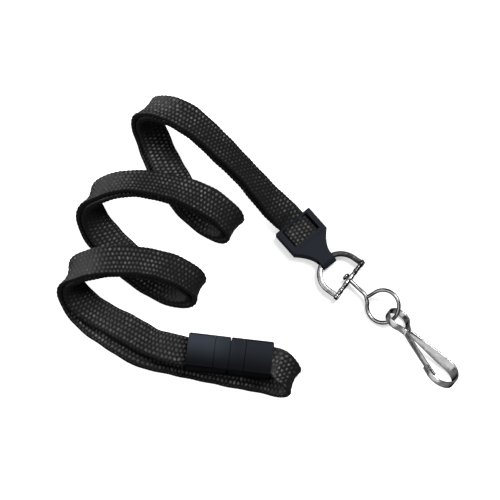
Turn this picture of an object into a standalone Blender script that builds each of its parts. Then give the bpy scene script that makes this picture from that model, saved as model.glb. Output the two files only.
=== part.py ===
"""A doubled break-away lanyard, laid out as a loose flat coil on a table.

Two flat braided straps lie on top of each other all the way from a plastic
crimp clamp, through five turns of the coil, to the last fold. The inner strap
ends in the socket half of a break-away buckle. The outer strap runs on under
the buckle, folds back over itself and ends in the plug half. The crimp clamp
holds a D-ring, a swivel eye turns in the bar of the D-ring, and a bent strip
hook with a springy gate hangs in the wire loop of the swivel eye.

The frame: Z is up, the table is Z = 0, and the origin is the middle of the
back face of the crimp clamp. All driving dimensions are in millimetres.
"""
import math

import bmesh
import bpy
import numpy as np
from mathutils import Matrix, Vector

MM = 0.001

# --- straps ---------------------------------------------------------------
STRAP_WIDTH = 10.0
STRAP_THICKNESS = 1.6
LAYER_GAP = 0.4            # between the two straps
STATION_PITCH = 1.8        # length of strap per section
LEAD_STATIONS = 5          # shared stations that steer a strap's own end
CLAMPED_THICKNESS = 0.62   # a clamped strap end is this fraction as thick
CLAMPED_WIDTH = 0.92       # and this fraction as wide
CLAMPED_LENGTH = 7.4       # this much of a strap end is held flat
SWELL_LENGTH = 4.0         # and over this length it swells to full size
SECTION_SIDES = 8
FACE_POWER = 0.5           # roundness of the section across its width
EDGE_POWER = 0.6           # and through its thickness
KNOT_POWER = 0.75          # how chord lengths space the knots of a path
FINE_SAMPLES = 4000        # of a path, before it is spaced evenly

# --- crimp clamp ----------------------------------------------------------
CRIMP_HEADING = -50.0      # degrees from +X, towards the D-ring
CRIMP_THICKNESS = 4.0
CRIMP_LENGTH = 8.8         # the rectangular frame, along the strap
CRIMP_WIDTH = 13.4
WINDOW_LENGTH = 6.4
WINDOW_WIDTH = 10.0
WINDOW_PLACE = -0.3        # middle of the window, along the clamp
CRIMP_WALL = 0.7
CRIMP_FRONT_WALL = 1.2     # plastic beyond the strap ends
NECK_WIDTH = 4.8
NECK_START = 11.2
TAPER_POWER = 1.7          # the taper is steep at the frame and dies out
CHANNEL_PLACE = 12.2       # axis of the bore, along the crimp clamp
CHANNEL_RADIUS = 1.6       # the bore the D-ring strip turns in
TAPER_STEPS = 8
NOSE_STEPS = 12            # round the nose of the tab
BORE_SIDES = 24

# --- D-ring ---------------------------------------------------------------
D_CENTRE = (18.45, 0.6)    # arc centre, along and across the crimp clamp
D_HEADING = -36.0
D_RADIUS = 7.5
D_WALL = 1.7               # width of the flat strip, in the plane of the ring
D_HEIGHT = 1.2
D_LEG_END = 4.0            # end of the straight legs, from the arc centre
D_BAR = (2.6, 3.8)         # inner and outer face of the bar
D_BAR_HEIGHT = 2.8
D_BAR_PROUD = 0.1          # the bar stands this much out of the legs
D_HOLE_RADIUS = 0.87       # the hole for the wire, through the bar
D_HOLE_SIDES = 16
D_STEPS = 28               # round the half circle
RING_PITCH = 0.7           # degrees; the wire loop lifts the D-ring this much

# --- swivel eye -----------------------------------------------------------
WIRE_RADIUS = 0.6
HEAD_RADIUS = 1.2
HEAD_THICKNESS = 0.9
HEAD_TAPER = 0.8           # the end of the head is this fraction as wide
HEAD_STEP = 0.02           # length of the step from the head to the wire
SWIVEL_TURN = -9.0         # the stem stands askew in its loose hole
HEAD_GAP = 0.45            # from the bar to the head
STEM_STRAIGHT = 4.6        # the stem is straight from its head to here
STEM_BEND = ((6.6, 0.0), (7.5, -0.25), (8.4, -0.85))   # from stem to loop
LOOP_CENTRE = (13.7, 1.15)
LOOP_RADIUS = 5.1
LOOP_START = 212.0         # where the bend runs into the round loop
LOOP_END = 525.0           # where the loop runs straight on to the stem
WIRE_TAIL = 1.4            # length of that straight end
LOOP_ROLL = 24.0
LINK_ANGLE = 8.0           # where the hook hangs in the loop
WIRE_SIDES = 12
LOOP_STEPS = 38

# --- hook -----------------------------------------------------------------
HOOK_HEADING = -56.3
HOOK_ROLL = 40.0
HOOK_PITCH = 7.0
HOOK_STRIP = 0.65          # thickness of the strip
EYE_STRIP_WIDTH = 2.2
BOW_STRIP_WIDTH = 4.0
TIP_STRIP_WIDTH = 1.9
GATE_STRIP_WIDTH = 1.9
EYE_RADIUS = 3.6
EYE_CENTRE = -5.1          # measured along the hook from its neck
EYE_START = -32.0          # the strip leaves the neck at this angle
EYE_SWEEP = -296.0         # and runs this far round the eye
EYE_STEPS = 20
NECK_FRONT = 0.2           # where the strip leaves the neck for the bow
NECK_HALF = 0.75           # centre of the strip from the middle of the neck
BOW_CENTRE = (16.6, 1.5)
BOW_RADIUS = 5.15
BOW_END = -99.0            # angle where the bow runs into its straight tip
BOW_STEPS = 18
SIDE_STEPS = 4             # along the straight side, which widens evenly
TIP_LENGTH = 2.6
GATE_START = (0.4, -0.8)   # just clear of the neck
GATE_END = (17.2, -2.5)
LINK_PLACE = -6.6          # where the wire loop crosses the hook
LINK_SIDE = 0.5

# --- buckle ---------------------------------------------------------------
BUCKLE_HEADING = -7.0
BUCKLE_PLACE = (-22.4, -41.4, 2.3)   # middle of the parting line, underside
BUCKLE_WIDTH = 11.5
BUCKLE_HEIGHT = 5.4
HALF_LENGTH = 13.6
PARTING_GAP = 0.3
LID_THICKNESS = 1.4
CLAMP_FLOOR = 1.5          # plastic under the clamped strap end
TRAY_HALF = 5.2            # half the width of the tray for the strap end
CLAMP_DEPTH = 8.6          # how far the strap end reaches in
CROSS_WALL = 0.8           # between the strap end and the latch
SHELL_WALL = 1.2           # round the latch
FIT_GAP = 0.3              # between separate pieces
BUCKLE_EDGE = 1.1          # radius of the long edges
EDGE_STEPS = 3
PRONGS = ((-4.2, -2.4), (-1.0, 1.0), (2.4, 4.2))   # each from y to y
PRONG_INSET = 1.5          # from the underside and the top of the buckle
STRAP_LEAD = 0.8           # the strap is level this far before the buckle

# The middle surface between the two straps: x, y, z of the centre, heading
# and tilt of the width, cup of the section, sideways shift of the outer strap.
COIL = (
    (1.9, -2.2, 2.0, 220, 0, 0.0, 0.0),        # inside the crimp clamp
    (-0.5, 0.6, 2.0, 220, 0, 0.0, 0.0),
    (-2.9, 3.4, 2.0, 220, 0, 0.0, 0.0),        # its mouth
    (-9.0, 8.8, 4.2, 221, 24, 0.0, 0.0),       # strand 1, rising
    (-17.0, 16.9, 7.8, 222, 37, 0.0, 0.0),
    (-24.6, 24.0, 10.8, 226, 31, 0.0, 0.0),
    (-32.5, 31.0, 13.0, 232, 20, 0.2, 0.0),
    (-41.5, 36.3, 13.2, 230, 14, 0.5, 0.0),    # left turn 1: top, side, foot
    (-48.3, 37.4, 9.0, 228, 14, 0.7, 0.2),
    (-47.2, 33.0, 3.6, 222, 8, 0.5, 0.8),
    (-40.3, 18.0, 2.6, 214, 2, 0.0, 1.2),      # strand 2, on the table
    (-26.0, 1.2, 3.3, 226, 6, 0.4, -0.3),       # right turn 1: foot, side, top
    (-22.3, 0.4, 6.6, 238, 10, 0.8, 0.0),
    (-26.3, 4.6, 10.2, 246, 8, 0.6, 0.0),
    (-44.0, 11.3, 13.0, 256, 24, 0.0, 0.0),    # strand 3, arching over 2
    (-58.0, 11.4, 13.2, 254, 26, 0.4, 0.0),    # left turn 2
    (-65.4, 7.7, 9.0, 242, 14, 0.7, 0.2),
    (-64.2, 2.2, 3.6, 228, 8, 0.5, 0.8),
    (-55.0, -8.0, 2.6, 222, 2, 0.0, 1.2),      # strand 4
    (-38.0, -19.9, 3.2, 236, 6, 0.4, 0.1),     # right turn 2
    (-33.4, -19.9, 6.6, 250, 10, 0.8, 0.0),
    (-37.8, -16.6, 10.2, 256, 12, 0.6, 0.0),
    (-55.0, -13.0, 12.8, 264, 6, 0.0, 0.0),    # strand 5
    (-64.6, -14.1, 12.8, 262, 8, 0.5, 0.0),    # left turn 3
    (-71.3, -16.9, 8.0, 250, 8, 0.7, 0.2),
    (-69.3, -22.3, 3.5, 238, 8, 0.4, 1.2),
    (-56.7, -31.0, 3.2, 242, 6, 0.0, 3.6),     # strand 6
    (-47.6, -36.3, 3.3, 250, 4, 0.0, 3.7),
)
# The outer strap under the buckle and round the last fold: x, y, z, heading
# and tilt of the width. Both straps end on the axis of the buckle.
LAST_FOLD = (
    (-37.8, -41.9, 1.1, 255, 0),
    (-28.0, -44.2, 1.05, 256, 0),
    (-15.2, -46.7, 1.05, 256, 0),
    (-7.6, -48.5, 1.2, 254, 0),
    (-3.4, -49.0, 3.1, 248, 6),
    (-5.4, -45.6, 4.9, 258, 2),
)
TAIL_CUT_X = -27.0         # the moving strap end starts here, under the buckle

STRAP_CLOTH = ("strap_cloth", (0.022, 0.022, 0.024), 0.85, 0.0)
BLACK_PLASTIC = ("black_plastic", (0.020, 0.023, 0.032), 0.38, 0.0)
NICKEL = ("bright_nickel", (0.80, 0.80, 0.80), 0.16, 1.0)


# --- scene helpers --------------------------------------------------------
def clear_scene():
    for obj in list(bpy.data.objects):
        bpy.data.objects.remove(obj, do_unlink=True)


def material(name, spec):
    look, colour, roughness, metallic = spec
    made = bpy.data.materials.new(name + "_" + look)
    made.use_nodes = True
    shader = made.node_tree.nodes["Principled BSDF"]
    shader.inputs["Base Color"].default_value = (*colour, 1.0)
    shader.inputs["Roughness"].default_value = roughness
    shader.inputs["Metallic"].default_value = metallic
    return made


def make_object(name, verts, faces, spec, origin=(0, 0, 0), smooth=False):
    """A named mesh object; verts and origin are in millimetres."""
    mesh = bpy.data.meshes.new(name)
    base = Vector(origin)
    mesh.from_pydata([(Vector(v) - base) * MM for v in verts], [], faces)
    mesh.validate()
    shell = bmesh.new()
    shell.from_mesh(mesh)
    bmesh.ops.recalc_face_normals(shell, faces=shell.faces)
    shell.to_mesh(mesh)
    shell.free()
    for polygon in mesh.polygons:
        polygon.use_smooth = smooth
    obj = bpy.data.objects.new(name, mesh)
    obj.location = base * MM
    bpy.context.scene.collection.objects.link(obj)
    if spec:
        mesh.materials.append(material(name, spec))
    return obj


def prism(outline, low, high, place=Matrix.Identity(4)):
    """Verts and faces of an outline (x, y) raised from low to high."""
    count = len(outline)
    verts = [place @ Vector((x, y, low)) for x, y in outline]
    verts += [place @ Vector((x, y, high)) for x, y in outline]
    faces = [list(range(count))[::-1], list(range(count, 2 * count))]
    for i in range(count):
        j = (i + 1) % count
        faces.append([i, j, j + count, i + count])
    return verts, faces


def rectangle(x0, x1, y0, y1):
    return [(x0, y0), (x1, y0), (x1, y1), (x0, y1)]


def circle_outline(x, y, radius, steps):
    outline = []
    for k in range(steps):
        angle = 2 * math.pi * k / steps
        outline.append((x + radius * math.cos(angle), y + radius * math.sin(angle)))
    return outline


def boolean(obj, operation, other_verts, other_faces):
    """Joins, cuts or intersects obj with a body in world millimetres."""
    helper = make_object("helper", other_verts, other_faces, None)
    step = obj.modifiers.new("step", "BOOLEAN")
    step.operation = operation
    step.solver = "EXACT"
    step.object = helper
    graph = bpy.context.evaluated_depsgraph_get()
    baked = bpy.data.meshes.new_from_object(obj.evaluated_get(graph))
    obj.modifiers.clear()
    old = obj.data
    obj.data = baked
    bpy.data.meshes.remove(old)
    bpy.data.objects.remove(helper, do_unlink=True)


def local_frame(heading, origin=(0, 0, 0)):
    """A frame with X along the heading and Z up, in millimetres."""
    turn = Matrix.Rotation(math.radians(heading), 4, "Z")
    return Matrix.Translation(Vector(origin)) @ turn


# --- curves ---------------------------------------------------------------
def spline(knots, values, at):
    """Natural cubic spline through the rows of values."""
    count = len(knots)
    step = np.diff(knots)
    system = np.zeros((count, count))
    right = np.zeros((count, values.shape[1]))
    system[0, 0] = 1.0
    system[-1, -1] = 1.0
    for i in range(1, count - 1):
        system[i, i - 1] = step[i - 1]
        system[i, i] = 2 * (step[i - 1] + step[i])
        system[i, i + 1] = step[i]
        rise = (values[i + 1] - values[i]) / step[i]
        rise_before = (values[i] - values[i - 1]) / step[i - 1]
        right[i] = 6 * (rise - rise_before)
    bend = np.linalg.solve(system, right)
    i = np.clip(np.searchsorted(knots, at, side="right") - 1, 0, count - 2)
    ahead = (knots[i + 1] - at)[:, None]
    behind = (at - knots[i])[:, None]
    width = step[i][:, None]
    curve = (bend[i] * ahead ** 3 + bend[i + 1] * behind ** 3) / (6 * width)
    curve += (values[i] / width - bend[i] * width / 6) * ahead
    curve += (values[i + 1] / width - bend[i + 1] * width / 6) * behind
    return curve


def path_through(rows, pitch):
    """Samples rows (x, y, z, heading, tilt, ...) at an even pitch."""
    rows = np.array(rows, float)
    chord = np.linalg.norm(np.diff(rows[:, :3], axis=0), axis=1)
    knots = np.concatenate([[0.0], np.cumsum(chord ** KNOT_POWER)])
    fine = spline(knots, rows, np.linspace(0.0, knots[-1], FINE_SAMPLES))
    run = np.linalg.norm(np.diff(fine[:, :3], axis=0), axis=1)
    length = np.concatenate([[0.0], np.cumsum(run)])
    count = int(round(length[-1] / pitch)) + 1
    even = np.linspace(0.0, length[-1], count)
    columns = [np.interp(even, length, fine[:, k]) for k in range(rows.shape[1])]
    return np.stack(columns, axis=1)


def path_axes(path):
    """Unit tangent, width direction and normal at every station."""
    tangent = np.gradient(path[:, :3], axis=0)
    tangent /= np.linalg.norm(tangent, axis=1)[:, None]
    heading = np.radians(path[:, 3])
    tilt = np.radians(path[:, 4])
    across = np.stack([
        np.cos(tilt) * np.cos(heading),
        np.cos(tilt) * np.sin(heading),
        np.sin(tilt),
    ], axis=1)
    across -= (across * tangent).sum(axis=1)[:, None] * tangent
    across /= np.linalg.norm(across, axis=1)[:, None]
    return tangent, across, np.cross(tangent, across)


# --- straps ---------------------------------------------------------------
def clamped_rows(side):
    """Rows on the buckle axis: just outside the clamp, and the strap end."""
    height = CLAMP_FLOOR + FIT_GAP + STRAP_THICKNESS / 2
    rows = []
    places = (HALF_LENGTH + STRAP_LEAD, HALF_LENGTH - CLAMP_DEPTH / 2,
              HALF_LENGTH - CLAMP_DEPTH)
    for place in places:
        x, y, z = buckle_frame() @ Vector((side * place, 0, height))
        rows.append((x, y, z, 270 + BUCKLE_HEADING, 0))
    return tuple(rows)


def strap_layer(side, end_rows):
    """Ribbon of one strap: side is +1 for the outer strap, -1 for the inner.

    A ribbon is points, width directions, normals and cups, one per station.
    """
    middle = path_through(COIL, STATION_PITCH)
    _, across, normal = path_axes(middle)
    fullness = swell(np.arange(len(middle)) * STATION_PITCH)
    thickness = STRAP_THICKNESS * (CLAMPED_THICKNESS + (1 - CLAMPED_THICKNESS) * fullness)
    offset = side * (thickness + LAYER_GAP) / 2
    shift = middle[:, 6] if side > 0 else 0 * middle[:, 6]
    points = middle[:, :3] + normal * offset[:, None] + across * shift[:, None]
    # from its last shared stations the strap runs on along its own end
    lead = np.column_stack([points, middle[:, 3:5]])[-LEAD_STATIONS:]
    end = path_through(np.vstack([lead, np.array(end_rows)]), STATION_PITCH)
    _, end_across, end_normal = path_axes(end)
    shared = slice(0, len(middle) - LEAD_STATIONS)
    cup = np.concatenate([middle[shared, 5], np.zeros(len(end))])
    return (np.vstack([points[shared], end[:, :3]]),
            np.vstack([across[shared], end_across]),
            np.vstack([normal[shared], end_normal]), cup)


def ease(value):
    """Smooth step from 0 to 1."""
    value = np.clip(value, 0.0, 1.0)
    return value * value * (3 - 2 * value)


def swell(distance):
    """0 where a clamp holds the strap flat, 1 where it is free."""
    return ease((distance - CLAMPED_LENGTH) / SWELL_LENGTH)


def strap_section():
    """Half-width and half-thickness fractions of the rounded flat section."""
    points = []
    for k in range(SECTION_SIDES):
        angle = 2 * math.pi * (k + 0.5) / SECTION_SIDES
        across = math.copysign(abs(math.cos(angle)) ** FACE_POWER, math.cos(angle))
        through = math.copysign(abs(math.sin(angle)) ** EDGE_POWER, math.sin(angle))
        points.append((across, through))
    return points


def strap_object(name, ribbon, clamped_start, clamped_end):
    """A closed strap along the ribbon, flattened where a clamp holds it."""
    points, across, normal, cup = ribbon
    count = len(points)
    from_start = np.arange(count) * STATION_PITCH
    fullness = np.ones(count)
    if clamped_start:
        fullness *= swell(from_start)
    if clamped_end:
        fullness *= swell(from_start[::-1])
    half_width = STRAP_WIDTH / 2 * (CLAMPED_WIDTH + (1 - CLAMPED_WIDTH) * fullness)
    half_thickness = STRAP_THICKNESS / 2 * (
        CLAMPED_THICKNESS + (1 - CLAMPED_THICKNESS) * fullness)
    section = strap_section()
    verts = []
    for i in range(count):
        for v, h in section:
            lift = half_thickness[i] * h + cup[i] * v * v
            verts.append(points[i] + across[i] * v * half_width[i] + normal[i] * lift)
    return tube_object(name, verts, count, len(section), STRAP_CLOTH, smooth=True)


def tube_object(name, verts, rings, sides, spec, origin=(0, 0, 0), smooth=False):
    """A closed skin over rings of verts, capped at both ends."""
    faces = []
    for i in range(rings - 1):
        for k in range(sides):
            n = (k + 1) % sides
            a = i * sides
            b = a + sides
            faces.append([a + k, a + n, b + n, b + k])
    faces.append(list(range(sides))[::-1])
    faces.append(list(range((rings - 1) * sides, rings * sides)))
    return make_object(name, verts, faces, spec, origin, smooth)


def build_straps():
    inner = strap_layer(-1, clamped_rows(-1))
    strap_object("strap_inner", inner, True, True)
    outer = strap_layer(1, LAST_FOLD + clamped_rows(1))
    points = outer[0]
    under_buckle = (points[:, 1] < LAST_FOLD[0][1]) & (points[:, 0] > TAIL_CUT_X)
    cut = int(np.argmax(under_buckle))
    strap_object("strap_outer", [part[:cut + 1] for part in outer], True, False)
    tail = [part[cut:].copy() for part in outer]
    ahead = tail[0][1] - tail[0][0]
    tail[0][0] += FIT_GAP * ahead / np.linalg.norm(ahead)
    strap_object("strap_tail", tail, False, True)


# --- crimp clamp ----------------------------------------------------------
def crimp_outline():
    """Plan of the clamp: a rectangular frame that tapers to a narrow tab."""
    back = -CRIMP_LENGTH / 2
    front = CRIMP_LENGTH / 2
    half = CRIMP_WIDTH / 2
    neck = NECK_WIDTH / 2
    tip = CHANNEL_PLACE + CRIMP_THICKNESS / 2
    side = [(back, half), (front, half)]
    for k in range(1, TAPER_STEPS + 1):
        t = k / TAPER_STEPS
        x = front + (NECK_START - front) * t
        side.append((x, neck + (half - neck) * (1 - t) ** TAPER_POWER))
    side.append((tip, neck))
    return [(x, -y) for x, y in side] + side[::-1]


def side_outline():
    """Side view of the clamp: straight, with a round nose at the tab."""
    radius = CRIMP_THICKNESS / 2
    outline = [(-CRIMP_LENGTH, 0.0)]
    for k in range(NOSE_STEPS + 1):
        angle = math.pi * (k / NOSE_STEPS - 0.5)
        outline.append((CHANNEL_PLACE + radius * math.cos(angle),
                        radius + radius * math.sin(angle)))
    outline.append((-CRIMP_LENGTH, CRIMP_THICKNESS))
    return outline


def build_crimp():
    place = local_frame(CRIMP_HEADING)
    sideways = place @ Matrix.Rotation(math.radians(90), 4, "X")
    verts, faces = prism(crimp_outline(), 0.0, CRIMP_THICKNESS, place)
    clamp = make_object("crimp_clamp", verts, faces, BLACK_PLASTIC)
    boolean(clamp, "INTERSECT", *prism(side_outline(), -CRIMP_WIDTH, CRIMP_WIDTH, sideways))
    bore = circle_outline(CHANNEL_PLACE, CRIMP_THICKNESS / 2, CHANNEL_RADIUS, BORE_SIDES)
    boolean(clamp, "DIFFERENCE", *prism(bore, -CRIMP_WIDTH, CRIMP_WIDTH, sideways))
    slot_end = CRIMP_LENGTH / 2 - CRIMP_FRONT_WALL
    slot_half = STRAP_WIDTH / 2 + FIT_GAP
    slot = rectangle(-CRIMP_LENGTH, slot_end, -slot_half, slot_half)
    boolean(clamp, "DIFFERENCE", *prism(
        slot, CRIMP_WALL, CRIMP_THICKNESS - CRIMP_WALL, place))
    window = rectangle(WINDOW_PLACE - WINDOW_LENGTH / 2, WINDOW_PLACE + WINDOW_LENGTH / 2,
                       -WINDOW_WIDTH / 2, WINDOW_WIDTH / 2)
    boolean(clamp, "DIFFERENCE", *prism(
        window, CRIMP_THICKNESS / 2, CRIMP_THICKNESS + 1, place))


# --- D-ring ---------------------------------------------------------------
def ring_frame():
    """Frame of the D-ring, at its arc centre."""
    bore = Matrix.Translation(channel_axis())
    lift = Matrix.Rotation(-math.radians(RING_PITCH), 4, crimp_across())
    along, across = D_CENTRE
    reach = local_frame(CRIMP_HEADING) @ Vector((along - CHANNEL_PLACE, across, 0))
    return bore @ lift @ local_frame(D_HEADING, reach)


def d_outline(radius, leg_end):
    """A half circle with two straight legs."""
    outline = [(leg_end, radius)]
    for k in range(D_STEPS + 1):
        angle = math.pi * (0.5 + k / D_STEPS)
        outline.append((radius * math.cos(angle), radius * math.sin(angle)))
    outline.append((leg_end, -radius))
    return outline


def channel_axis():
    """A point on the axis of the crimp bore, in world millimetres."""
    return local_frame(CRIMP_HEADING) @ Vector((CHANNEL_PLACE, 0, CRIMP_THICKNESS / 2))


def crimp_across():
    """Direction of the crimp bore."""
    return local_frame(CRIMP_HEADING) @ Vector((0, 1, 0))


def build_d_ring():
    place = ring_frame()
    half = D_HEIGHT / 2
    verts, faces = prism(d_outline(D_RADIUS, D_LEG_END), -half, half, place)
    ring = make_object("d_ring", verts, faces, NICKEL)
    inside = d_outline(D_RADIUS - D_WALL, D_LEG_END + D_WALL)
    boolean(ring, "DIFFERENCE", *prism(inside, -D_HEIGHT, D_HEIGHT, place))
    reach = D_RADIUS + D_BAR_PROUD
    bar = rectangle(*D_BAR, -reach, reach)
    boolean(ring, "UNION", *prism(bar, -D_BAR_HEIGHT / 2, D_BAR_HEIGHT / 2, place))
    along = place @ Matrix.Rotation(math.radians(90), 4, "Y")
    hole = circle_outline(0.0, 0.0, D_HOLE_RADIUS, D_HOLE_SIDES)
    boolean(ring, "DIFFERENCE", *prism(hole, 0.0, D_RADIUS, along))
    move_origin(ring, channel_axis())


def move_origin(obj, point):
    """Moves the origin of obj to a point in world millimetres."""
    shift = Vector(point) * MM - obj.location
    obj.data.transform(Matrix.Translation(-shift))
    obj.location = obj.location + shift


# --- swivel eye -----------------------------------------------------------
def swivel_frame():
    """Frame of the wire: X along its stem from the middle of the bar."""
    place = Matrix.Translation(Vector(((D_BAR[0] + D_BAR[1]) / 2, 0, 0)))
    turn = Matrix.Rotation(math.radians(SWIVEL_TURN), 4, "Z")
    roll = Matrix.Rotation(math.radians(LOOP_ROLL), 4, "X")
    return ring_frame() @ place @ turn @ roll


def loop_point(angle):
    """A point of the wire loop in the swivel frame."""
    x, y = LOOP_CENTRE
    turn = math.radians(angle)
    return Vector((x + LOOP_RADIUS * math.cos(turn), y + LOOP_RADIUS * math.sin(turn), 0.0))


def link_point():
    """Where the hook hangs on the wire, in world millimetres."""
    return swivel_frame() @ loop_point(LINK_ANGLE)


def wire_stations():
    """Centre points and radii of the wire, from its head to its cut end."""
    bar_half = (D_BAR[1] - D_BAR[0]) / 2
    head_end = -bar_half - HEAD_GAP
    head_start = head_end - HEAD_THICKNESS
    profile = [
        (head_start, HEAD_TAPER * HEAD_RADIUS),
        (head_start + HEAD_THICKNESS / 3, HEAD_RADIUS),
        (head_end, HEAD_RADIUS),
        (head_end + HEAD_STEP, WIRE_RADIUS),
        (bar_half, WIRE_RADIUS),
        (STEM_STRAIGHT, WIRE_RADIUS),
    ]
    stations = [(Vector((x, 0, 0)), radius) for x, radius in profile]
    stations += [(Vector((x, y, 0)), WIRE_RADIUS) for x, y in STEM_BEND]
    for k in range(LOOP_STEPS + 1):
        angle = LOOP_START + (LOOP_END - LOOP_START) * k / LOOP_STEPS
        stations.append((loop_point(angle), WIRE_RADIUS))
    turn = math.radians(LOOP_END)
    end = loop_point(LOOP_END) + WIRE_TAIL * Vector((-math.sin(turn), math.cos(turn), 0))
    stations.append((end, WIRE_RADIUS))
    return stations


def build_swivel():
    place = swivel_frame()
    stations = wire_stations()
    up = Vector((0, 0, 1))
    verts = []
    for i, (centre, radius) in enumerate(stations):
        ahead = stations[min(i + 1, len(stations) - 1)][0]
        behind = stations[max(i - 1, 0)][0]
        side = up.cross((ahead - behind).normalized())
        for k in range(WIRE_SIDES):
            angle = 2 * math.pi * k / WIRE_SIDES
            spoke = side * math.cos(angle) + up * math.sin(angle)
            verts.append(place @ (centre + spoke * radius))
    origin = place.translation
    tube_object("swivel_eye", verts, len(stations), WIRE_SIDES, NICKEL, origin, smooth=True)


# --- hook -----------------------------------------------------------------
def hook_frame():
    """Frame of the hook: X along it from the neck, Y away from the gate."""
    link = link_point()
    turn = Matrix.Rotation(math.radians(HOOK_HEADING), 4, "Z")
    pitch = Matrix.Rotation(-math.radians(HOOK_PITCH), 4, "Y")
    roll = Matrix.Rotation(math.radians(-HOOK_ROLL), 4, "X")
    back = Matrix.Translation(Vector((-LINK_PLACE, -LINK_SIDE, 0)))
    return Matrix.Translation(link) @ turn @ pitch @ roll @ back


def body_line():
    """Centre line and width of the strip: neck, round the eye, bow, tip."""
    line = [(0.0, -NECK_HALF, EYE_STRIP_WIDTH)]
    for k in range(EYE_STEPS + 1):
        angle = math.radians(EYE_START + EYE_SWEEP * k / EYE_STEPS)
        x = EYE_CENTRE + EYE_RADIUS * math.cos(angle)
        line.append((x, EYE_RADIUS * math.sin(angle), EYE_STRIP_WIDTH))
    line.append((NECK_FRONT, NECK_HALF, EYE_STRIP_WIDTH))
    # the straight side meets the bow where it touches the circle
    cx, cy = BOW_CENTRE
    reach = math.hypot(cx - NECK_FRONT, cy - NECK_HALF)
    toward = math.atan2(cy - NECK_HALF, cx - NECK_FRONT)
    first = toward + math.pi / 2 + math.asin(BOW_RADIUS / reach)
    last = math.radians(BOW_END)
    bow_x = cx + BOW_RADIUS * math.cos(first)
    bow_y = cy + BOW_RADIUS * math.sin(first)
    for k in range(1, SIDE_STEPS):
        t = k / SIDE_STEPS
        x = NECK_FRONT + (bow_x - NECK_FRONT) * t
        y = NECK_HALF + (bow_y - NECK_HALF) * t
        line.append((x, y, EYE_STRIP_WIDTH + (BOW_STRIP_WIDTH - EYE_STRIP_WIDTH) * t))
    for k in range(BOW_STEPS + 1):
        t = k / BOW_STEPS
        angle = first + (last - first) * t
        x = cx + BOW_RADIUS * math.cos(angle)
        y = cy + BOW_RADIUS * math.sin(angle)
        line.append((x, y, BOW_STRIP_WIDTH + (TIP_STRIP_WIDTH - BOW_STRIP_WIDTH) * t))
    heading = last - math.pi / 2
    tip_x, tip_y, _ = line[-1]
    x = tip_x + TIP_LENGTH * math.cos(heading)
    y = tip_y + TIP_LENGTH * math.sin(heading)
    line.append((x, y, TIP_STRIP_WIDTH))
    return line


def strip_object(name, line, place, origin):
    """A flat strip bent along a plane line (x, y, width across the plane)."""
    points = [Vector((x, y, 0)) for x, y, _ in line]
    steps = [(b - a).normalized() for a, b in zip(points, points[1:])]
    steps = [steps[0]] + steps + [steps[-1]]
    count = len(points)
    verts = []
    for i, point in enumerate(points):
        tangent = (steps[i] + steps[i + 1]).normalized()
        normal = Vector((-tangent.y, tangent.x, 0))
        # a mitre at every bend keeps the strip equally thick
        reach = HOOK_STRIP / 2 / tangent.dot(steps[i + 1])
        for n, z in ((1, 1), (-1, 1), (-1, -1), (1, -1)):
            rise = Vector((0, 0, z * line[i][2] / 2))
            verts.append(place @ (point + normal * reach * n + rise))
    return tube_object(name, verts, count, 4, NICKEL, origin)


def build_hook():
    place = hook_frame()
    strip_object("hook_body", body_line(), place, link_point())
    gate = [(x, y, GATE_STRIP_WIDTH) for x, y in (GATE_START, GATE_END)]
    hinge = place @ Vector((*GATE_START, 0))
    strip_object("hook_gate", gate, place, hinge)


# --- buckle ---------------------------------------------------------------
def buckle_frame():
    """X along the buckle from the parting line towards the plug."""
    return local_frame(BUCKLE_HEADING, BUCKLE_PLACE)


def buckle_half(name, side):
    """A shell half with round long edges; side is -1 socket, +1 plug."""
    side_y = BUCKLE_WIDTH / 2 - BUCKLE_EDGE
    low_z = BUCKLE_EDGE
    high_z = BUCKLE_HEIGHT - BUCKLE_EDGE
    corners = ((side_y, low_z), (side_y, high_z), (-side_y, high_z), (-side_y, low_z))
    section = []
    for corner, (cy, cz) in enumerate(corners):
        for k in range(EDGE_STEPS + 1):
            angle = math.pi / 2 * (corner - 1 + k / EDGE_STEPS)
            y = cy + BUCKLE_EDGE * math.cos(angle)
            section.append((y, cz + BUCKLE_EDGE * math.sin(angle)))
    # the section is drawn in Y and Z and raised along X
    turn = Matrix(((0, 0, 1, 0), (1, 0, 0, 0), (0, 1, 0, 0), (0, 0, 0, 1)))
    near = side * PARTING_GAP / 2
    far = side * HALF_LENGTH
    verts, faces = prism(section, min(near, far), max(near, far), buckle_frame() @ turn)
    return make_object(name, verts, faces, BLACK_PLASTIC)


def box_step(obj, x0, x1, y0, y1, z0, z1, operation="DIFFERENCE"):
    """Cuts a box of the buckle frame out of obj, or joins it on."""
    verts, faces = prism(rectangle(x0, x1, y0, y1), z0, z1, buckle_frame())
    boolean(obj, operation, verts, faces)


def strap_clamp(half, side):
    """Cuts the open tray that takes a strap end and its lid."""
    far = side * (HALF_LENGTH + 1)
    near = side * (HALF_LENGTH - CLAMP_DEPTH - FIT_GAP)
    x0, x1 = min(near, far), max(near, far)
    box_step(half, x0, x1, -TRAY_HALF, TRAY_HALF, CLAMP_FLOOR, BUCKLE_HEIGHT + 1)


def lid(name, side):
    """The lid that presses on a strap end, flush with the top."""
    half = TRAY_HALF - FIT_GAP
    far = side * HALF_LENGTH
    near = side * (HALF_LENGTH - CLAMP_DEPTH)
    x0, x1 = min(near, far), max(near, far)
    top = BUCKLE_HEIGHT
    verts, faces = prism(rectangle(x0, x1, -half, half), top - LID_THICKNESS, top, buckle_frame())
    return make_object(name, verts, faces, BLACK_PLASTIC)


def latch_depth():
    """How far the latch hollow reaches in from the parting line."""
    return HALF_LENGTH - CLAMP_DEPTH - FIT_GAP - CROSS_WALL


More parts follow.
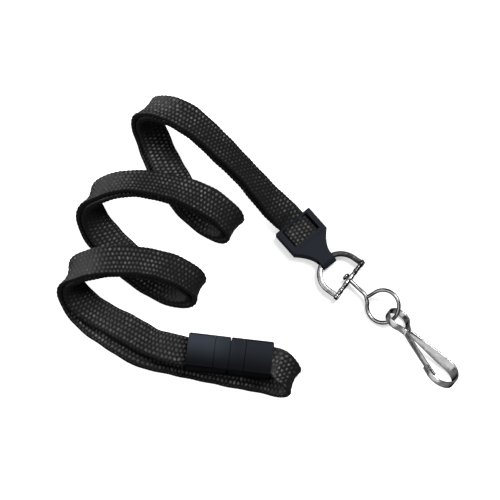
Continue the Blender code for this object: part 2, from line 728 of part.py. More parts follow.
def build_socket():
    socket = buckle_half("buckle_socket", -1)
    strap_clamp(socket, -1)
    half = BUCKLE_WIDTH / 2 - SHELL_WALL
    box_step(socket, -latch_depth(), 1.0, -half, half, SHELL_WALL, BUCKLE_HEIGHT - SHELL_WALL)
    lid("socket_lid", -1)


def build_plug():
    plug = buckle_half("buckle_plug", 1)
    strap_clamp(plug, 1)
    prong_end = FIT_GAP - latch_depth()
    for low, high in PRONGS:
        top = BUCKLE_HEIGHT - PRONG_INSET
        box_step(plug, prong_end, 1.0, low, high, PRONG_INSET, top, "UNION")
    lid("plug_lid", 1)


def main():
    clear_scene()
    build_straps()
    build_crimp()
    build_d_ring()
    build_swivel()
    build_hook()
    build_socket()
    build_plug()


main()
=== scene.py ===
"""Looks of the doubled break-away lanyard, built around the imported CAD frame.

The straps become flat tubular braids with every stitch in the mesh, the crimp
clamp and the buckle become moulded satin plastic, and the D-ring, the swivel
eye and the strip hook become bright nickel plate. Sizes are in millimetres
and repeat the driving dimensions of the CAD model.
"""
import math

import bmesh
import bpy
import numpy as np
from mathutils import Matrix, Vector


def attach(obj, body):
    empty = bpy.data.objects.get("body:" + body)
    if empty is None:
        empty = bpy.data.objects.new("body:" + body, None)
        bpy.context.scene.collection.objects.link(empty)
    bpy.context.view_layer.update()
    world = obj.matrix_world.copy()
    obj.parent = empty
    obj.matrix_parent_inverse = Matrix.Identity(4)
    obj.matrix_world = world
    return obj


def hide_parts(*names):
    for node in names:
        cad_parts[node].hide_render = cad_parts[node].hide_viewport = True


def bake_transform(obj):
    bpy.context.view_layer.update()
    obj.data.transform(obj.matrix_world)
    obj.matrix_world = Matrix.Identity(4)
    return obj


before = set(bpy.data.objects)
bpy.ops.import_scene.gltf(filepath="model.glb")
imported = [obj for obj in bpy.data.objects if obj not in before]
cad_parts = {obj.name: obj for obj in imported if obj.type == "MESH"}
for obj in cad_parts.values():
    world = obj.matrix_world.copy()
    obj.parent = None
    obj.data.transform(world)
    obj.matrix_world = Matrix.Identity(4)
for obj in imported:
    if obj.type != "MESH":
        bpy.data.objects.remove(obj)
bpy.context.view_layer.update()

MM = 0.001
PAST = 1.0  # cutters reach this far past a face
WELD_REACH = 0.01
ROOT = "strap_and_clamp"

# --- straps ---
STRAP_WIDTH = 10.0
STRAP_THICKNESS = 1.6
LAYER_GAP = 0.4  # between the two straps
STATION_PITCH = 1.8  # of the CAD sections
LEAD_STATIONS = 5  # shared stations that steer a strap's own end
CLAMPED_THICKNESS = 0.62  # a clamped strap end is this fraction as thick
CLAMPED_WIDTH = 0.92  # and this fraction as wide
CLAMPED_LENGTH = 7.4  # this much of a strap end is held flat
SWELL_LENGTH = 4.0  # and over this length it swells to full size
STRAP_LEAD = 0.8  # straight strap just outside a buckle lid
FINE_SAMPLES = 4000  # of a curve, before it is divided evenly

# --- braid ---
STITCH_LENGTH = 1.25  # along the strap
STITCHES_ROUND = 7  # round the flat tube, each two rows wide
FINE_PITCH = 0.28  # of the braided mesh
SIDES = 72  # mesh columns round the braid
RELIEF = 0.26  # height of a stitch
EDGE_FLAT = 0.7  # share of it lost round the side edges
CLAMPED_RELIEF = 0.6  # share of it left where a clamp holds the strap
CLAMPED_CORE = 0.55  # and share of the core's thickness
YARN_FLATNESS = 0.92  # of the section of a yarn; 1 is round
YARN_END = 0.3  # height of a stitch where it dives
CORE_HALF_WIDTH = 4.82
CORE_HALF_THICKNESS = 0.66
SLACK = ((0.02, 0.37, 0.0), (0.015, 0.83, 1.3))  # size, rate, start of width waves
TABLE_CLEARANCE = 0.02  # the lowest stitches press flat on the table
# the stitch highlights and the sheen below are painted into the yarn's colour
BEAD_ALONG = 1.30  # how sharply the sheen of a stitch fades along
BEAD_ACROSS = 2.5  # and across the strap
BEAD_SOFTNESS = 1.3
BEAD_GLOW_DARK = 0.02  # grey of a stitch that faces away from the sheen
BEAD_GLOW_LIT = 0.24  # and of one that faces it
BEADS_DROWNED = 0.55  # share of its stitches that full shine hides
SHEEN_TOWARD = (-0.50, 0.30, 0.82)
YARN_BLACK = 0.003
YARN_SHINE = 0.050
YARN_STRAY = 0.5  # how far yarns wander, in stitches, along
YARN_DRIFT = 0.24  # and across the strap
EDGE_PLACE = 0.09 * math.pi
EDGE_FADE = (0.10, 0.42)  # sines where the side edge ends and the face starts
TAIL_TOP_Y = -39.0  # the outer strap's last run lies nearer than this
TAIL_SPLIT_X = -37.0  # its moving end starts here, under the buckle

# --- crimp clamp ---
CRIMP_HEADING = -50.0
CRIMP_THICKNESS = 4.0
CRIMP_LENGTH = 8.8
CRIMP_WIDTH = 13.4
WINDOW_LENGTH = 6.4
WINDOW_WIDTH = 10.0
WINDOW_PLACE = -0.3
CRIMP_WALL = 0.7
CRIMP_FRONT_WALL = 1.2
NECK_WIDTH = 4.8
NECK_START = 11.2
TAPER_POWER = 1.7
CHANNEL_PLACE = 12.2
CHANNEL_RADIUS = 1.6
BACK_CHAMFER = 0.5
GROOVE_WIDTH = 0.25  # of the fine step between the window and the taper
GROOVE_DEPTH = 0.18
NOSE_STEPS = 24
TAPER_STEPS = 24
BORE_SIDES = 48
CRIMP_SOFT = 0.10  # radius on its edges

# --- D-ring ---
D_CENTRE = (18.45, 0.6)
D_HEADING = -36.0
D_RADIUS = 7.5
D_WALL = 1.7
D_HEIGHT = 1.2
D_LEG_END = 4.0
D_BAR = (2.6, 3.8)
D_BAR_HEIGHT = 2.8
D_BAR_PROUD = 0.1
D_HOLE_RADIUS = 0.87
D_HOLE_SIDES = 32
D_CORNER = 0.45  # radius on the edges of the band
D_STEPS = 72
D_LEG_STEPS = 10
BAR_CORNER = 0.42
BAR_STEPS = 60
BAR_END = (0.4, 0.78)  # length of the round ends, and their smallest size
BAR_SWELL = (0.16, 1.5)  # share and reach of the swelling at the hole
BAR_WAVES = ((0.10, 2.3, 0.0), (0.07, 4.1, 1.0))  # size, rate, start of the lumps
BAR_SHRINK = 0.08
RING_PITCH = 0.7
RING_DARK_SIDE = (0.5, 0.87, 0.0)  # the far side of the ring gets a painted dark reflection

# --- swivel eye ---
WIRE_RADIUS = 0.6
WIRE_SIDES = 24
WIRE_PITCH = 0.35
HEAD_THICKNESS = 0.9
HEAD_PROFILE = (  # place along the stem and radius, face first
    (0.0, 0.45), (0.04, 0.75), (0.13, 0.98), (0.27, 1.13), (0.42, 1.2),
    (0.82, 1.2), (HEAD_THICKNESS, 1.12), (0.92, 0.66), (1.02, WIRE_RADIUS),
)
SWIVEL_TURN = -9.0
HEAD_GAP = 0.45
STEM_STRAIGHT = 4.6
STEM_BEND = ((6.6, 0.0), (7.5, -0.25), (8.4, -0.85))
LOOP_CENTRE = (13.7, 1.15)
LOOP_RADIUS = 5.1
LOOP_START = 212.0
LOOP_END = 525.0
LOOP_STEP = 8.0
WIRE_TAIL = 2.4  # the cut end reaches past the CAD one,
TAIL_LIFT = 0.6  # and rides up beside the stem
CUT_END = 0.82  # size of the wire at its cut end
LOOP_ROLL = 24.0
LINK_ANGLE = 8.0

# --- hook ---
HOOK_HEADING = -56.3
HOOK_ROLL = 40.0
HOOK_PITCH = 7.0
HOOK_STRIP = 0.65
STRIP_CORNER = 0.2
EYE_STEPS = 60
SIDE_STEPS = 16
BOW_STEPS = 54
TIP_STEPS = 6
GATE_STEPS = 32
EYE_STRIP_WIDTH = 2.2
BOW_STRIP_WIDTH = 4.0
TIP_STRIP_WIDTH = 1.9
GATE_STRIP_WIDTH = 1.9
EYE_RADIUS = 3.6
EYE_CENTRE = -5.1
EYE_START = -32.0
EYE_SWEEP = -296.0
NECK_FRONT = 0.2
NECK_HALF = 0.75
BOW_CENTRE = (16.6, 1.5)
BOW_RADIUS = 5.15
BOW_END = -99.0
TIP_LENGTH = 2.6
GATE_START = (0.4, -0.8)
GATE_END = (17.2, -2.5)
GATE_BOW = 0.25  # the sprung gate bulges outwards this much
LINK_PLACE = -6.6
LINK_SIDE = 0.5

# --- buckle ---
BUCKLE_HEADING = -7.0
BUCKLE_PLACE = (-22.4, -41.4, 2.3)
BUCKLE_WIDTH = 11.5
BUCKLE_HEIGHT = 5.4
HALF_LENGTH = 13.6
LID_THICKNESS = 1.4
CLAMP_FLOOR = 1.5
TRAY_HALF = 5.2
CLAMP_DEPTH = 8.6
CROSS_WALL = 0.8
SHELL_WALL = 1.2
FIT_GAP = 0.3
PRONGS = ((-4.2, -2.4), (-1.0, 1.0), (2.4, 4.2))
PRONG_INSET = 1.5
SEAM_GAP = 0.16  # visible seams are finer than the CAD clearances
NICK = 0.5  # at both ends of the parting line
CORNER_RADIUS = 1.5
CORNER_STEPS = 8
BUCKLE_EDGE = 1.1  # radius on the long edges
LID_INSET = 0.35
SHELL_SOFT = 0.12  # radius on the other edges
LID_SOFT = 0.06

# --- looks ---
BLACK = (0.0, 0.0, 0.0)
WHITE = (1.0, 1.0, 1.0)
PLASTIC_DARK = (0.0012, 0.0016, 0.0028)
PLASTIC_LIGHT = (0.034, 0.041, 0.054)
CRIMP_TONE = 0.36  # between the two; the buckle runs through both as painted shade and highlight: dark to light across it, and half to fully light along it
FAR_SIDE = (-48.6, -40.0)  # dark to light across it,
SOCKET_END = (-20.0, -27.0)  # and half to fully light along it
BUCKLE_SIDE_Y = -30.0  # nearer than this is buckle, beyond it is crimp
EDGE_DARK = 0.93  # painted shade: nickel is painted this much darker where it turns away and this much on the ring's dark side, a painted dark reflection, which sets in over this length
SIDE_DARK = 0.84  # and this much on the ring's dark side,
DARK_SIDE_FADE = 3.0  # which sets in over this length

# --- studio ---
SENSOR_WIDTH = 36.0
CAMERA_ELEVATION = 72.0
CAMERA_TARGET = (-16.1, -6.83, 5.0)
CAMERA_DISTANCE = 1000.0
VIEW_WIDTH = 156.25  # of the table seen at that distance
LIGHT_AIM = (-0.016, -0.007, 0.0)  # metres
FLOOR_HALF = 3000.0
FLOOR_Z = -0.02
FLOOR_LIFT = 0.95  # extra white of the table, for the camera only
SHADOW_LIFT = 0.45  # less of it round the hardware keeps its shadows
SHADOW_PLACE = (20.0, -20.0, 0.0)
SHADOW_REACH = (31.0, 44.0)
FLOOR_IN_METAL = (0.22, 0.22, 0.22)  # the table as reflections see it
STUDIO_GREYS = (  # height in the sky and grey; the two ends come first
    (0.0, (0.30, 0.30, 0.31)),
    (1.0, (0.22, 0.22, 0.22)),
    (0.10, (0.06, 0.06, 0.06)),
    (0.35, (0.04, 0.04, 0.04)),
    (0.55, (0.30, 0.30, 0.30)),
    (0.80, (0.22, 0.22, 0.22)),
)
PANELS = (  # direction, cosine where it fades out and in, glow
    ((0.30, 0.45, 0.90), 0.86, 0.95, 0.62),
    ((-0.72, -0.68, 0.12), 0.70, 0.86, 0.85),
)

# The middle surface between the two straps: x, y, z of the centre, heading
# and tilt of the width, cup of the section, sideways shift of the outer strap.
COIL = (
    (1.9, -2.2, 2.0, 220, 0, 0.0, 0.0),  # inside the crimp clamp
    (-0.5, 0.6, 2.0, 220, 0, 0.0, 0.0),
    (-2.9, 3.4, 2.0, 220, 0, 0.0, 0.0),  # its mouth
    (-9.0, 8.8, 4.2, 221, 24, 0.0, 0.0),  # strand 1, rising
    (-17.0, 16.9, 7.8, 222, 37, 0.0, 0.0),
    (-24.6, 24.0, 10.8, 226, 31, 0.0, 0.0),
    (-32.5, 31.0, 13.0, 232, 20, 0.2, 0.0),
    (-41.5, 36.3, 13.2, 230, 14, 0.5, 0.0),  # left turn 1: top, side, foot
    (-48.3, 37.4, 9.0, 228, 14, 0.7, 0.2),
    (-47.2, 33.0, 3.6, 222, 8, 0.5, 0.8),
    (-40.3, 18.0, 2.6, 214, 2, 0.0, 1.2),  # strand 2, on the table
    (-26.0, 1.2, 3.3, 226, 6, 0.4, -0.3),  # right turn 1: foot, side, top
    (-22.3, 0.4, 6.6, 238, 10, 0.8, 0.0),
    (-26.3, 4.6, 10.2, 246, 8, 0.6, 0.0),
    (-44.0, 11.3, 13.0, 256, 24, 0.0, 0.0),  # strand 3, arching over 2
    (-58.0, 11.4, 13.2, 254, 26, 0.4, 0.0),  # left turn 2
    (-65.4, 7.7, 9.0, 242, 14, 0.7, 0.2),
    (-64.2, 2.2, 3.6, 228, 8, 0.5, 0.8),
    (-55.0, -8.0, 2.6, 222, 2, 0.0, 1.2),  # strand 4
    (-38.0, -19.9, 3.2, 236, 6, 0.4, 0.1),  # right turn 2
    (-33.4, -19.9, 6.6, 250, 10, 0.8, 0.0),
    (-37.8, -16.6, 10.2, 256, 12, 0.6, 0.0),
    (-55.0, -13.0, 12.8, 264, 6, 0.0, 0.0),  # strand 5
    (-64.6, -14.1, 12.8, 262, 8, 0.5, 0.0),  # left turn 3
    (-71.3, -16.9, 8.0, 250, 8, 0.7, 0.2),
    (-69.3, -22.3, 3.5, 238, 8, 0.4, 1.2),
    (-56.7, -31.0, 3.2, 242, 6, 0.0, 3.6),  # strand 6
    (-47.6, -36.3, 3.3, 250, 4, 0.0, 3.7),
)
# The outer strap under the buckle and round the last fold.
LAST_FOLD = (
    (-37.8, -41.9, 1.1, 255, 0),
    (-28.0, -44.2, 1.05, 256, 0),
    (-15.2, -46.7, 1.05, 256, 0),
    (-7.6, -48.5, 1.2, 254, 0),
    (-3.4, -49.0, 3.1, 248, 6),
    (-5.4, -45.6, 4.9, 258, 2),
)


# --- curves ---
def spline(knots, values, at):
    """Natural cubic spline through the rows of values."""
    count = len(knots)
    step = np.diff(knots)
    system = np.zeros((count, count))
    right = np.zeros((count, values.shape[1]))
    system[0, 0] = 1.0
    system[-1, -1] = 1.0
    for i in range(1, count - 1):
        system[i, i - 1] = step[i - 1]
        system[i, i] = 2 * (step[i - 1] + step[i])
        system[i, i + 1] = step[i]
        rise = (values[i + 1] - values[i]) / step[i]
        rise_before = (values[i] - values[i - 1]) / step[i - 1]
        right[i] = 6 * (rise - rise_before)
    bend = np.linalg.solve(system, right)
    i = np.clip(np.searchsorted(knots, at, side="right") - 1, 0, count - 2)
    ahead = (knots[i + 1] - at)[:, None]
    behind = (at - knots[i])[:, None]
    width = step[i][:, None]
    curve = (bend[i] * ahead ** 3 + bend[i + 1] * behind ** 3) / (6 * width)
    curve += (values[i] / width - bend[i] * width / 6) * ahead
    curve += (values[i + 1] / width - bend[i + 1] * width / 6) * behind
    return curve


def path_through(rows, pitch, power=0.75):
    """Samples rows (x, y, z, ...) along a smooth curve at an even pitch."""
    rows = np.array(rows, float)
    chord = np.linalg.norm(np.diff(rows[:, :3], axis=0), axis=1)
    knots = np.concatenate([[0.0], np.cumsum(chord ** power)])
    fine = spline(knots, rows, np.linspace(0.0, knots[-1], FINE_SAMPLES))
    run = np.linalg.norm(np.diff(fine[:, :3], axis=0), axis=1)
    length = np.concatenate([[0.0], np.cumsum(run)])
    count = int(round(length[-1] / pitch)) + 1
    even = np.linspace(0.0, length[-1], count)
    columns = [np.interp(even, length, fine[:, k]) for k in range(rows.shape[1])]
    return np.stack(columns, axis=1)


def unit(rows):
    return rows / np.linalg.norm(rows, axis=1)[:, None]


def path_axes(path):
    """Unit tangent, width direction and normal at every station."""
    tangent = unit(np.gradient(path[:, :3], axis=0))
    heading = np.radians(path[:, 3])
    tilt = np.radians(path[:, 4])
    across = np.stack([
        np.cos(tilt) * np.cos(heading),
        np.cos(tilt) * np.sin(heading),
        np.sin(tilt),
    ], axis=1)
    across = unit(across - (across * tangent).sum(axis=1)[:, None] * tangent)
    return tangent, across, np.cross(tangent, across)


def ease(value):
    """Smooth step from 0 to 1."""
    value = np.clip(value, 0.0, 1.0)
    return value * value * (3 - 2 * value)


def local_frame(heading, origin=(0, 0, 0)):
    """A frame with X along the heading and Z up."""
    turn = Matrix.Rotation(math.radians(heading), 4, "Z")
    return Matrix.Translation(Vector(origin)) @ turn


# --- meshes ---
def place_mesh(name, mesh):
    """Puts a mesh in the scene, at the origin, with its faces turned outwards."""
    shell = bmesh.new()
    shell.from_mesh(mesh)
    bmesh.ops.recalc_face_normals(shell, faces=shell.faces)
    shell.to_mesh(mesh)
    shell.free()
    obj = bpy.data.objects.new(name, mesh)
    bpy.context.scene.collection.objects.link(obj)
    return obj


def mesh_object(name, verts, faces):
    """An object from verts in millimetres."""
    mesh = bpy.data.meshes.new(name)
    mesh.from_pydata([tuple(c * MM for c in v) for v in verts], [], faces)
    return place_mesh(name, mesh)


def flat_faces(obj):
    """Keeps the big faces of a bevelled piece shaded flat."""
    weighted = obj.modifiers.new("flat_faces", "WEIGHTED_NORMAL")
    weighted.weight = 100
    weighted.keep_sharp = True


def finish_piece(obj, body, material, smooth, node):
    """Shades a piece smooth up to an angle and gives it its looks and body."""
    for polygon in obj.data.polygons:
        polygon.use_smooth = True
    obj.data.set_sharp_from_angle(angle=math.radians(smooth))
    obj.data.materials.clear()
    obj.data.materials.append(material)
    if body:
        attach(obj, body)
    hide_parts(node)


def prism(outline, low, high, place=Matrix.Identity(4)):
    """Verts and faces of an outline (x, y) raised from low to high."""
    count = len(outline)
    verts = [place @ Vector((x, y, low)) for x, y in outline]
    verts += [place @ Vector((x, y, high)) for x, y in outline]
    faces = [list(range(count))[::-1], list(range(count, 2 * count))]
    for i in range(count):
        j = (i + 1) % count
        faces.append([i, j, j + count, i + count])
    return verts, faces


def tube(rings):
    """Verts and faces of a closed skin over equal rings of points."""
    sides = len(rings[0])
    verts = [point for ring in rings for point in ring]
    faces = []
    for i in range(len(rings) - 1):
        for k in range(sides):
            n = (k + 1) % sides
            a = i * sides
            b = a + sides
            faces.append([a + k, a + n, b + n, b + k])
    faces.append(list(range(sides))[::-1])
    faces.append(list(range((len(rings) - 1) * sides, len(rings) * sides)))
    return verts, faces


def rectangle(x0, x1, y0, y1):
    return [(x0, y0), (x1, y0), (x1, y1), (x0, y1)]


def circle_outline(x, y, radius, steps):
    outline = []
    for k in range(steps):
        angle = 2 * math.pi * k / steps
        outline.append((x + radius * math.cos(angle), y + radius * math.sin(angle)))
    return outline


def rounded_rectangle(width, height, radius, steps=5):
    """Outline of a rectangle with round corners, centred on the origin."""
    points = []
    for cx, cy, start in ((1, 1, 0), (-1, 1, 90), (-1, -1, 180), (1, -1, 270)):
        for k in range(steps + 1):
            angle = math.radians(start + 90 * k / steps)
            points.append((cx * (width / 2 - radius) + radius * math.cos(angle),
                           cy * (height / 2 - radius) + radius * math.sin(angle)))
    return points


def bake_modifiers(obj):
    graph = bpy.context.evaluated_depsgraph_get()
    baked = bpy.data.meshes.new_from_object(obj.evaluated_get(graph))
    obj.modifiers.clear()
    old = obj.data
    obj.data = baked
    bpy.data.meshes.remove(old)


def boolean(obj, operation, verts, faces):
    """Joins or cuts obj with a helper body."""
    helper = mesh_object("helper", verts, faces)
    step = obj.modifiers.new("step", "BOOLEAN")
    step.operation = operation
    step.solver = "EXACT"
    step.object = helper
    bake_modifiers(obj)
    mesh = helper.data
    bpy.data.objects.remove(helper, do_unlink=True)
    bpy.data.meshes.remove(mesh)


def soften(obj, width, segments=3, angle=30.0):
    """Rounds the sharp edges of a moulded or stamped piece."""
    weld = obj.modifiers.new("weld", "WELD")
    weld.merge_threshold = WELD_REACH * MM
    bevel = obj.modifiers.new("bevel", "BEVEL")
    bevel.width = width * MM
    bevel.segments = segments
    bevel.limit_method = "ANGLE"
    bevel.angle_limit = math.radians(angle)
    bevel.miter_outer = "MITER_ARC"
    bake_modifiers(obj)


# --- braid ---
def swell(distance):
    """0 where a clamp holds the strap flat, 1 where it is free."""
    return ease((distance - CLAMPED_LENGTH) / SWELL_LENGTH)


def buckle_frame():
    """X along the buckle from the parting line towards the plug."""
    return local_frame(BUCKLE_HEADING, BUCKLE_PLACE)


def clamped_rows(side):
    """Rows on the buckle axis: just outside the clamp, and the strap end."""
    height = CLAMP_FLOOR + FIT_GAP + STRAP_THICKNESS / 2
    rows = []
    for lead in (STRAP_LEAD, -CLAMP_DEPTH / 2, -CLAMP_DEPTH):
        place = HALF_LENGTH + lead
        x, y, z = buckle_frame() @ Vector((side * place, 0, height))
        rows.append((x, y, z, 270 + BUCKLE_HEADING, 0))
    return tuple(rows)


def strap_layer(side, end_rows):
    """Points, width directions, normals and cups of one strap, as in the CAD."""
    middle = path_through(COIL, STATION_PITCH)
    _, across, normal = path_axes(middle)
    fullness = swell(np.arange(len(middle)) * STATION_PITCH)
    thickness = STRAP_THICKNESS * (CLAMPED_THICKNESS + (1 - CLAMPED_THICKNESS) * fullness)
    offset = side * (thickness + LAYER_GAP) / 2
    shift = middle[:, 6] if side > 0 else 0 * middle[:, 6]
    points = middle[:, :3] + normal * offset[:, None] + across * shift[:, None]
    lead = np.column_stack([points, middle[:, 3:5]])[-LEAD_STATIONS:]
    end = path_through(np.vstack([lead, np.array(end_rows)]), STATION_PITCH)
    _, end_across, end_normal = path_axes(end)
    shared = slice(0, len(middle) - LEAD_STATIONS)
    cup = np.concatenate([middle[shared, 5], np.zeros(len(end))])
    return (np.vstack([points[shared], end[:, :3]]),
            np.vstack([across[shared], end_across]),
            np.vstack([normal[shared], end_normal]), cup)


def fine_ribbon(side, end_rows):
    """The strap layer sampled finely, with its length, size and fullness."""
    points, across, normal, cup = strap_layer(side, end_rows)
    rows = np.column_stack([points, across, normal, cup])
    fine = path_through(rows, FINE_PITCH, power=1.0)
    across = unit(fine[:, 3:6])
    normal = fine[:, 6:9]
    normal = unit(normal - (normal * across).sum(axis=1)[:, None] * across)
    length = np.arange(len(fine)) * FINE_PITCH
    fullness = swell(length) * swell(length[::-1])
    return {"points": fine[:, :3], "across": across, "normal": normal,
            "cup": fine[:, 9], "length": length, "fullness": fullness}


def stadium(half_width, half_thickness, part):
    """Point and outward direction at a fraction of the way round a flat tube."""
    flat = 2 * (half_width - half_thickness)
    bend = math.pi * half_thickness
    run = (part % 1.0) * 2 * (flat + bend)
    # the second half is the first one turned by 180 degrees
    sign = np.where(run < flat + bend, 1.0, -1.0)
    run = run % (flat + bend)
    turn = math.pi / 2 + np.maximum(run - flat, 0.0) / half_thickness
    nx = sign * np.cos(turn)
    ny = sign * np.sin(turn)
    x = sign * (flat / 2 - np.minimum(run, flat)) + half_thickness * nx
    return x, half_thickness * ny, nx, ny


def stitch_height(u, v):
    """Height 0 to 1 of a one-over one-under braid; u and v count stitches."""
    a = u + v
    b = u - v
    m = np.floor(a)
    k = np.floor(b)
    first = np.mod(m + k, 2) < 0.5
    along = np.where(first, a - m, b - k) - 0.5
    beside = np.where(first, b - k, a - m) - 0.5
    round_yarn = np.sqrt(np.clip(1 - YARN_FLATNESS * (2 * beside) ** 2, 0, 1))
    return round_yarn * (YARN_END + (1 - YARN_END) * np.cos(math.pi * along))


def braid_object(name, ribbon, start, stop):
    """A flat tubular braid between two stations of a ribbon."""
    cut = slice(start, stop)
    points = ribbon["points"][cut]
    count = len(points)
    fullness = ribbon["fullness"][cut][:, None] + np.zeros((1, SIDES))
    length = ribbon["length"][cut][:, None] + np.zeros((1, SIDES))
    column = np.arange(SIDES)[None, :] + np.zeros((count, 1))
    slack = 1 + sum(size * np.sin(length * rate + start) for size, rate, start in SLACK)
    half_width = CORE_HALF_WIDTH * (CLAMPED_WIDTH + (1 - CLAMPED_WIDTH) * fullness) * slack
    half_thickness = CORE_HALF_THICKNESS * (CLAMPED_CORE + (1 - CLAMPED_CORE) * fullness)
    x, y, nx, ny = stadium(half_width, half_thickness, column / SIDES)
    relief = RELIEF * (CLAMPED_RELIEF + (1 - CLAMPED_RELIEF) * fullness)
    u = length / STITCH_LENGTH
    v = column * STITCHES_ROUND / SIDES
    height = relief * stitch_height(u, v) * (1 - EDGE_FLAT * nx ** 2)
    x = x + nx * height
    y = y + ny * height + ribbon["cup"][cut][:, None] * (x / half_width) ** 2
    across = ribbon["across"][cut][:, None, :]
    normal = ribbon["normal"][cut][:, None, :]
    verts = points[:, None, :] + across * x[:, :, None] + normal * y[:, :, None]
    verts = verts.reshape(-1, 3) * MM
    verts[:, 2] = np.maximum(verts[:, 2], TABLE_CLEARANCE * MM)

    row = np.arange(count - 1)[:, None] * SIDES
    here = np.arange(SIDES)[None, :]
    beyond = (here + 1) % SIDES
    quads = np.stack([row + here, row + beyond, row + SIDES + beyond, row + SIDES + here],
                     axis=-1).reshape(-1, 4)
    mesh = bpy.data.meshes.new(name)
    caps = [list(range(SIDES))[::-1], list(range((count - 1) * SIDES, count * SIDES))]
    mesh.from_pydata(verts.tolist(), [], quads.tolist() + caps)
    layer = mesh.uv_layers.new(name="braid_uv")
    step = STITCHES_ROUND / SIDES
    u_row = ribbon["length"][cut] / STITCH_LENGTH
    low = np.repeat(u_row[:-1], SIDES)
    high = np.repeat(u_row[1:], SIDES)
    left = np.tile(np.arange(SIDES) * step, count - 1)
    right = left + step
    corners = np.stack([low, left, low, right, high, right, high, left], axis=-1).ravel()
    coordinates = np.zeros(2 * len(mesh.loops))
    coordinates[:len(corners)] = corners
    layer.data.foreach_set("uv", coordinates)
    return place_mesh(name, mesh)


def build_straps(cloth):
    inner = fine_ribbon(-1, clamped_rows(-1))
    piece = braid_object("braid_inner", inner, 0, len(inner["length"]))
    finish_piece(piece, ROOT, cloth, 180.0, "strap_inner")
    outer = fine_ribbon(1, LAST_FOLD + clamped_rows(1))
    points = outer["points"]
    last_run = (points[:, 1] < TAIL_TOP_Y) & (points[:, 0] > TAIL_SPLIT_X)
    split = int(np.argmax(last_run))
    piece = braid_object("braid_outer", outer, 0, split + 1)
    finish_piece(piece, ROOT, cloth, 180.0, "strap_outer")
    tail = braid_object("braid_tail", outer, split, len(points))
    finish_piece(tail, None, cloth, 180.0, "strap_tail")
    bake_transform(tail)


# --- crimp clamp ---
def crimp_outline():
    """Plan of the clamp: a rectangular frame that tapers to a narrow tab."""
    back = -CRIMP_LENGTH / 2
    front = CRIMP_LENGTH / 2
    half = CRIMP_WIDTH / 2
    neck = NECK_WIDTH / 2
    tip = CHANNEL_PLACE + CRIMP_THICKNESS / 2
    side = [(back, half), (front, half)]
    for k in range(1, TAPER_STEPS + 1):
        t = k / TAPER_STEPS
        x = front + (NECK_START - front) * t
        side.append((x, neck + (half - neck) * (1 - t) ** TAPER_POWER))
    side.append((tip, neck))
    return [(x, -y) for x, y in side] + side[::-1]


def side_outline():
    """Side view of the clamp: a chamfered mouth and a round nose at the tab."""
    radius = CRIMP_THICKNESS / 2
    back = -CRIMP_LENGTH / 2
    outline = [(back, 0.0)]
    for k in range(NOSE_STEPS + 1):
        angle = math.pi * (k / NOSE_STEPS - 0.5)
        outline.append((CHANNEL_PLACE + radius * math.cos(angle),
                        radius + radius * math.sin(angle)))
    outline.append((back + BACK_CHAMFER, CRIMP_THICKNESS))
    outline.append((back, CRIMP_THICKNESS - BACK_CHAMFER))
    return outline


def build_crimp(plastic):
    place = local_frame(CRIMP_HEADING)
    sideways = place @ Matrix.Rotation(math.radians(90), 4, "X")
    top = CRIMP_THICKNESS
    reach = CRIMP_WIDTH
    clamp = mesh_object("crimp_shell", *prism(crimp_outline(), 0.0, top, place))
    boolean(clamp, "INTERSECT", *prism(side_outline(), -reach, reach, sideways))
    bore = circle_outline(CHANNEL_PLACE, top / 2, CHANNEL_RADIUS, BORE_SIDES)
    boolean(clamp, "DIFFERENCE", *prism(bore, -reach, reach, sideways))
    slot_end = CRIMP_LENGTH / 2 - CRIMP_FRONT_WALL
    slot_half = STRAP_WIDTH / 2 + FIT_GAP
    slot = rectangle(-CRIMP_LENGTH, slot_end, -slot_half, slot_half)
    boolean(clamp, "DIFFERENCE", *prism(slot, CRIMP_WALL, top - CRIMP_WALL, place))
    window = rectangle(WINDOW_PLACE - WINDOW_LENGTH / 2, WINDOW_PLACE + WINDOW_LENGTH / 2,
                       -WINDOW_WIDTH / 2, WINDOW_WIDTH / 2)
    boolean(clamp, "DIFFERENCE", *prism(window, top / 2, top + PAST, place))
    front = CRIMP_LENGTH / 2
    groove = rectangle(front - GROOVE_WIDTH, front, -reach, reach)
    boolean(clamp, "DIFFERENCE", *prism(groove, top - GROOVE_DEPTH, top + PAST, place))
    soften(clamp, CRIMP_SOFT)
    finish_piece(clamp, ROOT, plastic, 60.0, "crimp_clamp")
    flat_faces(clamp)


# --- D-ring ---
def channel_axis():
    """A point on the axis of the crimp bore."""
    return local_frame(CRIMP_HEADING) @ Vector((CHANNEL_PLACE, 0, CRIMP_THICKNESS / 2))


def ring_frame():
    """Frame of the D-ring, at its arc centre."""
    bore = Matrix.Translation(channel_axis())
    bore_direction = local_frame(CRIMP_HEADING) @ Vector((0, 1, 0))
    lift = Matrix.Rotation(-math.radians(RING_PITCH), 4, bore_direction)
    along, across = D_CENTRE
    reach = local_frame(CRIMP_HEADING) @ Vector((along - CHANNEL_PLACE, across, 0))
    return bore @ lift @ local_frame(D_HEADING, reach)


def sweep(points, normals, section_at, place):
    """Rings of a plane section carried along points in the frame's XY plane."""
    rings = []
    for i, (point, normal) in enumerate(zip(points, normals)):
        ring = []
        for n, z in section_at(i):
            ring.append(place @ (point + normal * n + Vector((0, 0, z))))
        rings.append(ring)
    return rings


def d_path(radius):
    """Points and outward normals of the half circle and its straight legs."""
    points = []
    normals = []
    for k in range(D_LEG_STEPS):
        points.append(Vector((D_LEG_END * (1 - k / D_LEG_STEPS), radius, 0)))
        normals.append(Vector((0, 1, 0)))
    for k in range(D_STEPS + 1):
        angle = math.pi * (0.5 + k / D_STEPS)
        normals.append(Vector((math.cos(angle), math.sin(angle), 0)))
        points.append(normals[-1] * radius)
    for k in range(1, D_LEG_STEPS + 1):
        points.append(Vector((D_LEG_END * k / D_LEG_STEPS, -radius, 0)))
        normals.append(Vector((0, -1, 0)))
    return points, normals


